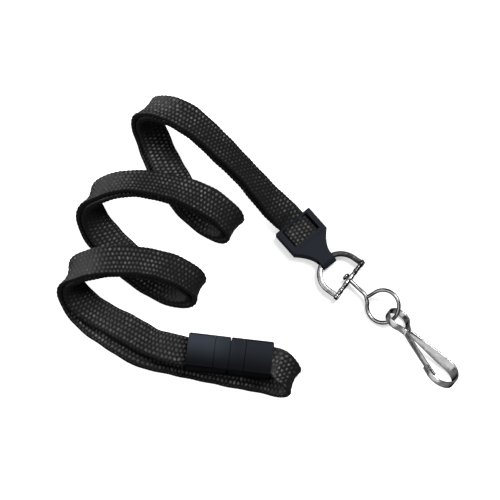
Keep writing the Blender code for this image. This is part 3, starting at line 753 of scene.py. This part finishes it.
def bar_rings(place):
    """The cast bar: softly rounded ends and a swelling round the wire hole."""
    middle = (D_BAR[0] + D_BAR[1]) / 2
    half = D_RADIUS + D_BAR_PROUD
    face = rounded_rectangle(D_BAR[1] - D_BAR[0], D_BAR_HEIGHT, BAR_CORNER)
    end_length, end_size = BAR_END
    swell_share, swell_reach = BAR_SWELL
    points = []
    sizes = []
    for k in range(BAR_STEPS + 1):
        y = half * (2 * k / BAR_STEPS - 1)
        end = min(1.0, (half - abs(y)) / end_length)
        round_end = end_size + (1 - end_size) * math.sqrt(1 - (1 - end) ** 2)
        points.append(Vector((middle, y, 0)))
        swelling = swell_share * math.exp(-(y / swell_reach) ** 2)
        waves = sum(size * math.sin(rate * y + start) for size, rate, start in BAR_WAVES)
        sizes.append(round_end * (1 + swelling + waves - BAR_SHRINK))
    normals = [Vector((1, 0, 0))] * len(points)

    def section(i):
        return [(n * sizes[i], z * min(sizes[i], 1.0)) for n, z in face]

    return sweep(points, normals, section, place)


def build_d_ring(nickel):
    place = ring_frame()
    points, normals = d_path(D_RADIUS - D_WALL / 2)
    band = rounded_rectangle(D_WALL, D_HEIGHT, D_CORNER)
    ring = mesh_object("d_ring_nickel", *tube(sweep(points, normals, lambda i: band, place)))
    boolean(ring, "UNION", *tube(bar_rings(place)))
    turned = place @ Matrix.Rotation(math.radians(90), 4, "Y")
    hole = circle_outline(0.0, 0.0, D_HOLE_RADIUS, D_HOLE_SIDES)
    boolean(ring, "DIFFERENCE", *prism(hole, 0.0, D_RADIUS, turned))
    finish_piece(ring, "d_ring", nickel, 35.0, "d_ring")


# --- swivel eye ---
def swivel_frame():
    """Frame of the wire: X along its stem from the middle of the bar."""
    place = Matrix.Translation(Vector(((D_BAR[0] + D_BAR[1]) / 2, 0, 0)))
    turn = Matrix.Rotation(math.radians(SWIVEL_TURN), 4, "Z")
    roll = Matrix.Rotation(math.radians(LOOP_ROLL), 4, "X")
    return ring_frame() @ place @ turn @ roll


def loop_point(angle):
    """A point of the wire loop in the swivel frame."""
    x, y = LOOP_CENTRE
    turn = math.radians(angle)
    return Vector((x + LOOP_RADIUS * math.cos(turn), y + LOOP_RADIUS * math.sin(turn), 0.0))


def wire_line():
    """Centre points and radii of the wire, from its peened head to its cut end."""
    head_end = -(D_BAR[1] - D_BAR[0]) / 2 - HEAD_GAP
    points = []
    radii = []
    for x, radius in HEAD_PROFILE:
        points.append(Vector((head_end - HEAD_THICKNESS + x, 0, 0)))
        radii.append(radius)
    guide = [(STEM_STRAIGHT, 0, 0), *((x, y, 0) for x, y in STEM_BEND)]
    for k in range(int((LOOP_END - LOOP_START) / LOOP_STEP) + 1):
        guide.append(tuple(loop_point(LOOP_START + LOOP_STEP * k)))
    turn = math.radians(LOOP_END)
    end = loop_point(LOOP_END) + WIRE_TAIL * Vector((-math.sin(turn), math.cos(turn), 0))
    guide.append((end.x, end.y, TAIL_LIFT))
    bend = path_through(guide, WIRE_PITCH)
    points += [Vector(row) for row in bend]
    radii += [WIRE_RADIUS] * (len(bend) - 1) + [WIRE_RADIUS * CUT_END]
    return points, radii


def build_swivel(nickel):
    place = swivel_frame()
    points, radii = wire_line()
    up = Vector((0, 0, 1))
    rings = []
    for i, point in enumerate(points):
        ahead = points[min(i + 1, len(points) - 1)]
        behind = points[max(i - 1, 0)]
        side = up.cross((ahead - behind).normalized())
        ring = []
        for k in range(WIRE_SIDES):
            angle = 2 * math.pi * k / WIRE_SIDES
            spoke = side * math.cos(angle) + up * math.sin(angle)
            ring.append(place @ (point + spoke * radii[i]))
        rings.append(ring)
    piece = mesh_object("swivel_wire", *tube(rings))
    finish_piece(piece, "swivel", nickel, 50.0, "swivel_eye")


# --- hook ---
def hook_frame():
    """Frame of the hook: X along it from the neck, Y away from the gate."""
    link = swivel_frame() @ loop_point(LINK_ANGLE)
    turn = Matrix.Rotation(math.radians(HOOK_HEADING), 4, "Z")
    pitch = Matrix.Rotation(-math.radians(HOOK_PITCH), 4, "Y")
    roll = Matrix.Rotation(math.radians(-HOOK_ROLL), 4, "X")
    back = Matrix.Translation(Vector((-LINK_PLACE, -LINK_SIDE, 0)))
    return Matrix.Translation(link) @ turn @ pitch @ roll @ back


def body_line():
    """Centre line and width of the strip: neck, round the eye, bow, tip."""
    line = [(0.0, -NECK_HALF, EYE_STRIP_WIDTH)]
    for k in range(EYE_STEPS + 1):
        angle = math.radians(EYE_START + EYE_SWEEP * k / EYE_STEPS)
        x = EYE_CENTRE + EYE_RADIUS * math.cos(angle)
        line.append((x, EYE_RADIUS * math.sin(angle), EYE_STRIP_WIDTH))
    line.append((NECK_FRONT, NECK_HALF, EYE_STRIP_WIDTH))
    # the straight side meets the bow where it touches the circle
    cx, cy = BOW_CENTRE
    reach = math.hypot(cx - NECK_FRONT, cy - NECK_HALF)
    toward = math.atan2(cy - NECK_HALF, cx - NECK_FRONT)
    first = toward + math.pi / 2 + math.asin(BOW_RADIUS / reach)
    last = math.radians(BOW_END)
    bow_x = cx + BOW_RADIUS * math.cos(first)
    bow_y = cy + BOW_RADIUS * math.sin(first)
    for k in range(1, SIDE_STEPS):
        t = k / SIDE_STEPS
        x = NECK_FRONT + (bow_x - NECK_FRONT) * t
        y = NECK_HALF + (bow_y - NECK_HALF) * t
        wide = EYE_STRIP_WIDTH + (BOW_STRIP_WIDTH - EYE_STRIP_WIDTH) * float(ease(t))
        line.append((x, y, wide))
    for k in range(BOW_STEPS + 1):
        t = k / BOW_STEPS
        angle = first + (last - first) * t
        x = cx + BOW_RADIUS * math.cos(angle)
        y = cy + BOW_RADIUS * math.sin(angle)
        wide = BOW_STRIP_WIDTH + (TIP_STRIP_WIDTH - BOW_STRIP_WIDTH) * float(ease(t))
        line.append((x, y, wide))
    heading = last - math.pi / 2
    tip_x, tip_y, _ = line[-1]
    for k in range(1, TIP_STEPS + 1):
        t = TIP_LENGTH * k / TIP_STEPS
        line.append((tip_x + t * math.cos(heading), tip_y + t * math.sin(heading),
                     TIP_STRIP_WIDTH))
    return line


def strip_rings(line, place):
    """A strip with round edges bent along a plane line (x, y, width)."""
    points = [Vector((x, y, 0)) for x, y, _ in line]
    count = len(points)
    normals = []
    for i, point in enumerate(points):
        ahead = points[min(i + 1, count - 1)]
        behind = points[max(i - 1, 0)]
        tangent = (ahead - behind).normalized()
        normals.append(Vector((-tangent.y, tangent.x, 0)))

    def section(i):
        return rounded_rectangle(HOOK_STRIP, line[i][2], STRIP_CORNER, 4)

    return sweep(points, normals, section, place)


def gate_line():
    """The springy gate, a shallow curve from the neck to the hook tip."""
    x0, y0 = GATE_START
    x1, y1 = GATE_END
    line = []
    for k in range(GATE_STEPS + 1):
        t = k / GATE_STEPS
        bulge = GATE_BOW * math.sin(math.pi * t)
        line.append((x0 + (x1 - x0) * t, y0 + (y1 - y0) * t - bulge, GATE_STRIP_WIDTH))
    return line


def build_hook(nickel):
    place = hook_frame()
    body = mesh_object("hook_strip", *tube(strip_rings(body_line(), place)))
    finish_piece(body, "hook", nickel, 50.0, "hook_body")
    gate = mesh_object("gate_strip", *tube(strip_rings(gate_line(), place)))
    finish_piece(gate, "gate", nickel, 50.0, "hook_gate")


# --- buckle ---
def buckle_half(name, side):
    """A shell half with round long edges; side is -1 socket, +1 plug."""
    section = [(y, z + BUCKLE_HEIGHT / 2)
               for y, z in rounded_rectangle(BUCKLE_WIDTH, BUCKLE_HEIGHT, BUCKLE_EDGE, 8)]
    turn = Matrix(((0, 0, 1, 0), (1, 0, 0, 0), (0, 1, 0, 0), (0, 0, 0, 1)))
    near = side * SEAM_GAP / 2
    far = side * HALF_LENGTH
    shell = mesh_object(name, *prism(section, min(near, far), max(near, far),
                                     buckle_frame() @ turn))
    # round corners at the far end and a small nick at the parting line
    half = BUCKLE_WIDTH / 2
    plan = [(near, NICK - half), (near, half - NICK), (near + side * NICK, half)]
    for corner in (1, -1):
        for k in range(CORNER_STEPS + 1):
            t = k / CORNER_STEPS
            angle = math.pi / 2 * (t if corner < 0 else 1 - t)
            x = far - side * CORNER_RADIUS * (1 - math.cos(angle))
            y = corner * (half - CORNER_RADIUS * (1 - math.sin(angle)))
            plan.append((x, y))
    plan.append((near + side * NICK, -half))
    boolean(shell, "INTERSECT", *prism(plan, -PAST, BUCKLE_HEIGHT + PAST, buckle_frame()))
    return shell


def box_step(obj, x0, x1, y0, y1, z0, z1, operation="DIFFERENCE"):
    """Cuts a box of the buckle frame out of obj, or joins it on."""
    low, high = min(x0, x1), max(x0, x1)
    verts, faces = prism(rectangle(low, high, y0, y1), z0, z1, buckle_frame())
    boolean(obj, operation, verts, faces)


def latch_depth():
    """How far the latch hollow reaches in from the parting line."""
    return HALF_LENGTH - CLAMP_DEPTH - FIT_GAP - CROSS_WALL


def build_buckle(plastic):
    top = BUCKLE_HEIGHT
    for body, side, name, node in ((ROOT, -1, "socket", "buckle_socket"),
                                   ("plug_end", 1, "plug", "buckle_plug")):
        shell = buckle_half(name + "_shell", side)
        box_step(shell, side * (HALF_LENGTH + PAST), side * (HALF_LENGTH - CLAMP_DEPTH - FIT_GAP),
                 -TRAY_HALF, TRAY_HALF, CLAMP_FLOOR, top + PAST)
        if side < 0:
            half = BUCKLE_WIDTH / 2 - SHELL_WALL
            box_step(shell, -latch_depth(), PAST, -half, half, SHELL_WALL, top - SHELL_WALL)
        else:
            prong_end = FIT_GAP - latch_depth()
            for low, high in PRONGS:
                box_step(shell, prong_end, PAST, low, high, PRONG_INSET, top - PRONG_INSET,
                         "UNION")
        soften(shell, SHELL_SOFT)
        finish_piece(shell, body, plastic, 60.0, node)
        flat_faces(shell)
        lid_half = TRAY_HALF - SEAM_GAP
        near = side * (HALF_LENGTH - CLAMP_DEPTH - FIT_GAP + SEAM_GAP)
        far = side * (HALF_LENGTH - LID_INSET)
        outline = rectangle(min(near, far), max(near, far), -lid_half, lid_half)
        lid = mesh_object(name + "_lid_shell",
                          *prism(outline, top - LID_THICKNESS, top, buckle_frame()))
        soften(lid, LID_SOFT)
        finish_piece(lid, body, plastic, 60.0, name + "_lid")
        flat_faces(lid)


# --- shader helpers ---
def new_material(name):
    made = bpy.data.materials.new(name)
    made.use_nodes = True
    tree = made.node_tree
    return made, tree, tree.nodes["Principled BSDF"]


def add(tree, kind):
    return tree.nodes.new("ShaderNode" + kind)


def feed(tree, value, socket):
    """Drives a socket by another socket, or sets it to a plain value."""
    if isinstance(value, bpy.types.NodeSocket):
        tree.links.new(value, socket)
    else:
        socket.default_value = value


def settings(tree, shader, values):
    """Feeds several named inputs of a shader."""
    for name, value in values.items():
        feed(tree, value, shader.inputs[name])


def calc(tree, operation, *inputs):
    """A maths node over sockets or numbers."""
    node = add(tree, "Math")
    node.operation = operation
    for slot, value in enumerate(inputs):
        feed(tree, value, node.inputs[slot])
    return node.outputs[0]


def times(tree, first, second):
    return calc(tree, "MULTIPLY", first, second)


def scaled(tree, value, factor, added):
    """value * factor + added."""
    return calc(tree, "MULTIPLY_ADD", value, factor, added)


def vector_calc(tree, operation, vector, value):
    """A number from a vector socket and a fixed vector."""
    node = add(tree, "VectorMath")
    node.operation = operation
    feed(tree, vector, node.inputs[0])
    feed(tree, value, node.inputs[1])
    return node.outputs["Value"]


def parts_of(tree, vector):
    """The x, y and z sockets of a vector."""
    node = add(tree, "SeparateXYZ")
    feed(tree, vector, node.inputs[0])
    return node.outputs


def choose(tree, factor, low, high):
    """low where factor is 0, high where it is 1, for numbers or sockets."""
    node = add(tree, "Mix")
    node.data_type = "FLOAT"
    for slot, value in ((0, factor), (2, low), (3, high)):
        feed(tree, value, node.inputs[slot])
    return node.outputs[0]


def colours(tree, factor, low, high, blend="MIX"):
    """A colour between low and high, each an (r, g, b) or a socket."""
    node = add(tree, "Mix")
    node.data_type = "RGBA"
    node.blend_type = blend
    feed(tree, factor, node.inputs[0])
    for slot, value in ((6, low), (7, high)):
        feed(tree, (*value, 1) if isinstance(value, tuple) else value, node.inputs[slot])
    return node.outputs[2]


def ramp(tree, value, start, end, low=0.0, high=1.0, smooth=True):
    """low where value is at start, high where it is at end, level beyond."""
    node = add(tree, "MapRange")
    node.interpolation_type = "SMOOTHSTEP" if smooth else "LINEAR"
    settings(tree, node, {"Value": value, "From Min": start, "From Max": end,
                          "To Min": low, "To Max": high})
    return node.outputs[0]


def place_in_object(tree):
    return add(tree, "TexCoord").outputs["Object"]


def noise(tree, vector, scale, detail=3.0):
    node = add(tree, "TexNoise")
    settings(tree, node, {"Scale": scale, "Detail": detail, "Vector": vector})
    return node.outputs[0]


def bump(tree, height, distance, strength):
    node = add(tree, "Bump")
    settings(tree, node, {"Strength": strength, "Distance": distance, "Height": height})
    return node.outputs[0]


# --- materials ---
def stitch_places(tree):
    """Which stitch of the braid a point is in, and where in that stitch.

    Gives the two yarn numbers, and the place in each yarn from -0.5 to 0.5.
    """
    uv = add(tree, "UVMap")
    uv.uv_map = "braid_uv"
    u, v, _ = parts_of(tree, uv.outputs[0])
    # the yarns wander a little, along and across
    stray = noise(tree, place_in_object(tree), 700.0, 1.0)
    drift = noise(tree, place_in_object(tree), 560.0, 1.0)
    u = calc(tree, "ADD", u, scaled(tree, stray, YARN_STRAY, -YARN_STRAY / 2))
    v = calc(tree, "ADD", v, scaled(tree, drift, YARN_DRIFT, -YARN_DRIFT / 2))
    numbers = []
    places = []
    for combine in ("ADD", "SUBTRACT"):
        count = calc(tree, combine, u, v)
        number = calc(tree, "FLOOR", count)
        numbers.append(number)
        places.append(calc(tree, "SUBTRACT", calc(tree, "SUBTRACT", count, number), 0.5))
    return v, numbers, places


def bead_shape(tree, first, second):
    """1 in the middle of a stitch, fading to 0 before its edges."""
    along = times(tree, calc(tree, "ADD", first, second), BEAD_ALONG)
    across = times(tree, calc(tree, "SUBTRACT", first, second), BEAD_ACROSS)
    away = calc(tree, "ADD", times(tree, along, along), times(tree, across, across))
    left = calc(tree, "MAXIMUM", calc(tree, "SUBTRACT", 1.0, away), 0.0)
    return calc(tree, "POWER", left, BEAD_SOFTNESS)


def cloth_material():
    """Black yarn with a painted round highlight on every stitch of the flat faces, and a painted
    sheen.
    """
    made, tree, shader = new_material("strap_braid")
    v, numbers, places = stitch_places(tree)
    # painted highlight: a round bright spot on every stitch
    bead = bead_shape(tree, *places)
    # the painted stitch highlights leave out the round side edges of the flat tube, which stay
    # smooth and dark
    turn = times(tree, v, 2 * math.pi / STITCHES_ROUND)
    edge_place = calc(tree, "ADD", turn, EDGE_PLACE)
    face = ramp(tree, calc(tree, "ABSOLUTE", calc(tree, "SINE", edge_place)), *EDGE_FADE)
    # painted highlight strength: one random shade per stitch, and patches where it is stronger or
    # weaker
    yarn = add(tree, "TexWhiteNoise")
    yarn.noise_dimensions = "2D"
    pair = add(tree, "CombineXYZ")
    feed(tree, numbers[0], pair.inputs[0])
    feed(tree, numbers[1], pair.inputs[1])
    feed(tree, pair.outputs[0], yarn.inputs["Vector"])
    shade = scaled(tree, times(tree, yarn.outputs[0], yarn.outputs[0]), 0.8, 0.35)
    patch = noise(tree, place_in_object(tree), 85.0, 4.0)
    highlight_patches = ramp(tree, patch, 0.36, 0.62, low=0.30, smooth=False)
    crest = times(tree, times(tree, bead, shade), times(tree, face, highlight_patches))
    # painted sheen: yarn whose normal faces up and to the left is painted lighter, and its
    # painted stitch highlights fade there
    normal = add(tree, "NewGeometry").outputs["Normal"]
    facing = vector_calc(tree, "DOT_PRODUCT", normal, Vector(SHEEN_TOWARD).normalized())
    lit = ramp(tree, facing, 0.40, 0.85, BEAD_GLOW_DARK, BEAD_GLOW_LIT)
    shine = ramp(tree, facing, 0.80, 1.0)
    ground = scaled(tree, shine, YARN_SHINE, YARN_BLACK)
    drowned = scaled(tree, shine, -BEADS_DROWNED, 1.0)
    beads = times(tree, crest, times(tree, lit, drowned))
    tone = calc(tree, "ADD", ground, beads)
    # filaments run along each yarn, and loose fibres blur them
    filament = calc(tree, "SINE", times(tree, places[0], 40.0))
    fuzz = noise(tree, place_in_object(tree), 5200.0, 2.0)
    fine = scaled(tree, filament, 0.08, times(tree, fuzz, 0.25))
    settings(tree, shader, {
        "Base Color": colours(tree, tone, BLACK, WHITE),
        "Roughness": scaled(tree, crest, -0.2, 0.68),
        "Specular IOR Level": 0.14,
        "Sheen Weight": 0.04,
        "Sheen Roughness": 0.4,
        "Normal": bump(tree, fine, 0.12 * MM, 0.8),
    })
    return made


def plastic_material():
    """Blue-black satin plastic; the buckle has painted highlight and shade that make it greyer,
    the crimp is even.
    """
    made, tree, shader = new_material("moulded_plastic")
    where = place_in_object(tree)
    cloud = noise(tree, where, 120.0, 3.0)
    grain = noise(tree, where, 3800.0, 2.0)
    x, y, _ = parts_of(tree, where)
    # painted highlight and shade: the buckle is lighter along its far side and at its socket end
    lean = scaled(tree, x, -math.tan(math.radians(BUCKLE_HEADING)), y)
    far = ramp(tree, lean, FAR_SIDE[0] * MM, FAR_SIDE[1] * MM)
    socket_end_glow = ramp(tree, x, SOCKET_END[0] * MM, SOCKET_END[1] * MM, low=0.45, smooth=False)
    in_buckle = calc(tree, "LESS_THAN", y, BUCKLE_SIDE_Y * MM)
    tone = choose(tree, in_buckle, CRIMP_TONE, times(tree, far, socket_end_glow))
    tone = times(tree, tone, scaled(tree, cloud, 0.4, 0.8))
    settings(tree, shader, {
        "Base Color": colours(tree, tone, PLASTIC_DARK, PLASTIC_LIGHT),
        "Specular IOR Level": 0.05,
        "Roughness": scaled(tree, cloud, 0.14, 0.42),
        "Normal": bump(tree, grain, 0.02 * MM, 0.5),
    })
    return made


def nickel_material(name, tones, grazing, dark_side=None):
    """Bright plate with painted shade: faces at a grazing angle are painted dark, and so is a
    dark side.

    tones are the darkest and lightest plate; grazing is where the turned away
    faces start and end their way to painted dark. dark_side is a place and a direction
    in millimetres; past the place the plate gets a painted dark reflection of the studio.
    """
    made, tree, shader = new_material(name)
    where = place_in_object(tree)
    cloud = noise(tree, where, 420.0, 4.0)
    fine = noise(tree, where, 2600.0, 3.0)
    # painted shade where the faces turn away from the view
    weight = add(tree, "LayerWeight")
    edge = ramp(tree, weight.outputs["Facing"], *grazing)
    tone = scaled(tree, cloud, tones[1] - tones[0], tones[0])
    tone = times(tree, tone, scaled(tree, edge, -EDGE_DARK, 1.0))
    # painted dark reflection past the dark side's place
    if dark_side:
        place, direction = dark_side
        start = Vector(place).dot(Vector(direction)) * MM
        beyond = vector_calc(tree, "DOT_PRODUCT", where, direction)
        shaded = ramp(tree, beyond, start, start + DARK_SIDE_FADE * MM)
        tone = times(tree, tone, scaled(tree, shaded, -SIDE_DARK, 1.0))
    settings(tree, shader, {
        "Base Color": colours(tree, tone, BLACK, WHITE),
        "Specular Tint": (0.2, 0.2, 0.2, 1),
        "Metallic": 1.0,
        "Roughness": scaled(tree, fine, 0.14, 0.12),
        "Normal": bump(tree, cloud, 0.10 * MM, 0.8),
    })
    return made


# --- studio ---
def build_floor():
    """A plain white table, bleached for the camera so that only contact shadows show."""
    half = FLOOR_HALF
    corners = [(x, y, FLOOR_Z) for x, y in rectangle(-half, half, -half, half)]
    floor = mesh_object("studio_floor", corners, [[0, 1, 2, 3]])
    made, tree, shader = new_material("studio_paper")
    where = place_in_object(tree)
    grain = noise(tree, where, 900.0, 2.0)
    paper = colours(tree, grain, (0.88, 0.88, 0.88), (0.91, 0.91, 0.91))
    path = add(tree, "LightPath")
    away = vector_calc(tree, "DISTANCE", where, Vector(SHADOW_PLACE) * MM)
    bleach = ramp(tree, away, SHADOW_REACH[0] * MM, SHADOW_REACH[1] * MM,
                  SHADOW_LIFT, FLOOR_LIFT)
    settings(tree, shader, {
        "Base Color": colours(tree, path.outputs["Is Glossy Ray"], paper,
                              FLOOR_IN_METAL),
        "Roughness": 0.9,
        "Specular IOR Level": 0.1,
        "Emission Color": (1, 1, 1, 1),
        "Emission Strength": times(tree, path.outputs["Is Camera Ray"], bleach),
    })
    floor.data.materials.append(made)


def build_world():
    """A dim studio with a soft panel overhead and one low on the front left."""
    world = bpy.data.worlds.new("studio")
    bpy.context.scene.world = world
    world.use_nodes = True
    tree = world.node_tree
    tree.nodes.clear()
    where = add(tree, "TexCoord").outputs["Generated"]
    sky = add(tree, "ValToRGB")
    feed(tree, parts_of(tree, where)[2], sky.inputs[0])
    stops = sky.color_ramp.elements
    for k, (position, grey) in enumerate(STUDIO_GREYS):
        stop = stops[k] if k < 2 else stops.new(position)
        stop.position = position
        stop.color = (*grey, 1)
    total = sky.outputs[0]
    for aim, fade, full, glow in PANELS:
        facing = vector_calc(tree, "DOT_PRODUCT", where, Vector(aim).normalized())
        shine = colours(tree, ramp(tree, facing, fade, full), BLACK, (glow, glow, glow))
        total = colours(tree, 1.0, total, shine, blend="ADD")
    light = add(tree, "Background")
    feed(tree, total, light.inputs[0])
    seen = add(tree, "Background")
    seen.inputs[0].default_value = (1, 1, 1, 1)
    path = add(tree, "LightPath")
    mix = add(tree, "MixShader")
    out = add(tree, "OutputWorld")
    feed(tree, path.outputs["Is Camera Ray"], mix.inputs[0])
    feed(tree, light.outputs[0], mix.inputs[1])
    feed(tree, seen.outputs[0], mix.inputs[2])
    feed(tree, mix.outputs[0], out.inputs[0])


def area_light(name, place, size, power):
    """A round soft light at place (metres), aimed at the middle of the object."""
    data = bpy.data.lights.new(name, "AREA")
    data.shape = "DISK"
    data.size = size
    data.energy = power
    lamp = bpy.data.objects.new(name, data)
    lamp.location = place
    aim = Vector(LIGHT_AIM) - Vector(place)
    lamp.rotation_euler = aim.to_track_quat("-Z", "Y").to_euler()
    bpy.context.scene.collection.objects.link(lamp)


def build_camera():
    data = bpy.data.cameras.new("camera")
    data.sensor_width = SENSOR_WIDTH
    data.lens = SENSOR_WIDTH * CAMERA_DISTANCE / VIEW_WIDTH
    data.clip_start = 0.01
    data.clip_end = 20.0
    camera = bpy.data.objects.new("camera", data)
    tip = math.radians(CAMERA_ELEVATION)
    away = Vector((0, -math.cos(tip), math.sin(tip)))
    camera.location = (Vector(CAMERA_TARGET) + away * CAMERA_DISTANCE) * MM
    camera.rotation_euler = (math.radians(90 - CAMERA_ELEVATION), 0, 0)
    bpy.context.scene.collection.objects.link(camera)
    bpy.context.scene.camera = camera


def build_studio():
    build_floor()
    build_world()
    area_light("key", (0.36, 0.30, 0.80), 0.40, 7.0)
    area_light("fill", (-0.60, -0.10, 0.70), 0.60, 1.2)
    build_camera()
    view = bpy.context.scene.view_settings
    view.view_transform = "Standard"
    view.look = "None"


cloth = cloth_material()
plastic = plastic_material()
strip_nickel = nickel_material("strip_nickel_plate", (0.40, 0.85), (0.34, 0.76))
wire_nickel = nickel_material("wire_nickel_plate", (0.20, 0.85), (0.004, 0.13))
ring_nickel = nickel_material("ring_nickel_plate", (0.05, 0.85), (0.06, 0.35),
                              (ring_frame().translation, RING_DARK_SIDE))
build_straps(cloth)
build_crimp(plastic)
build_d_ring(ring_nickel)
build_swivel(wire_nickel)
build_hook(strip_nickel)
build_buckle(plastic)
build_studio()
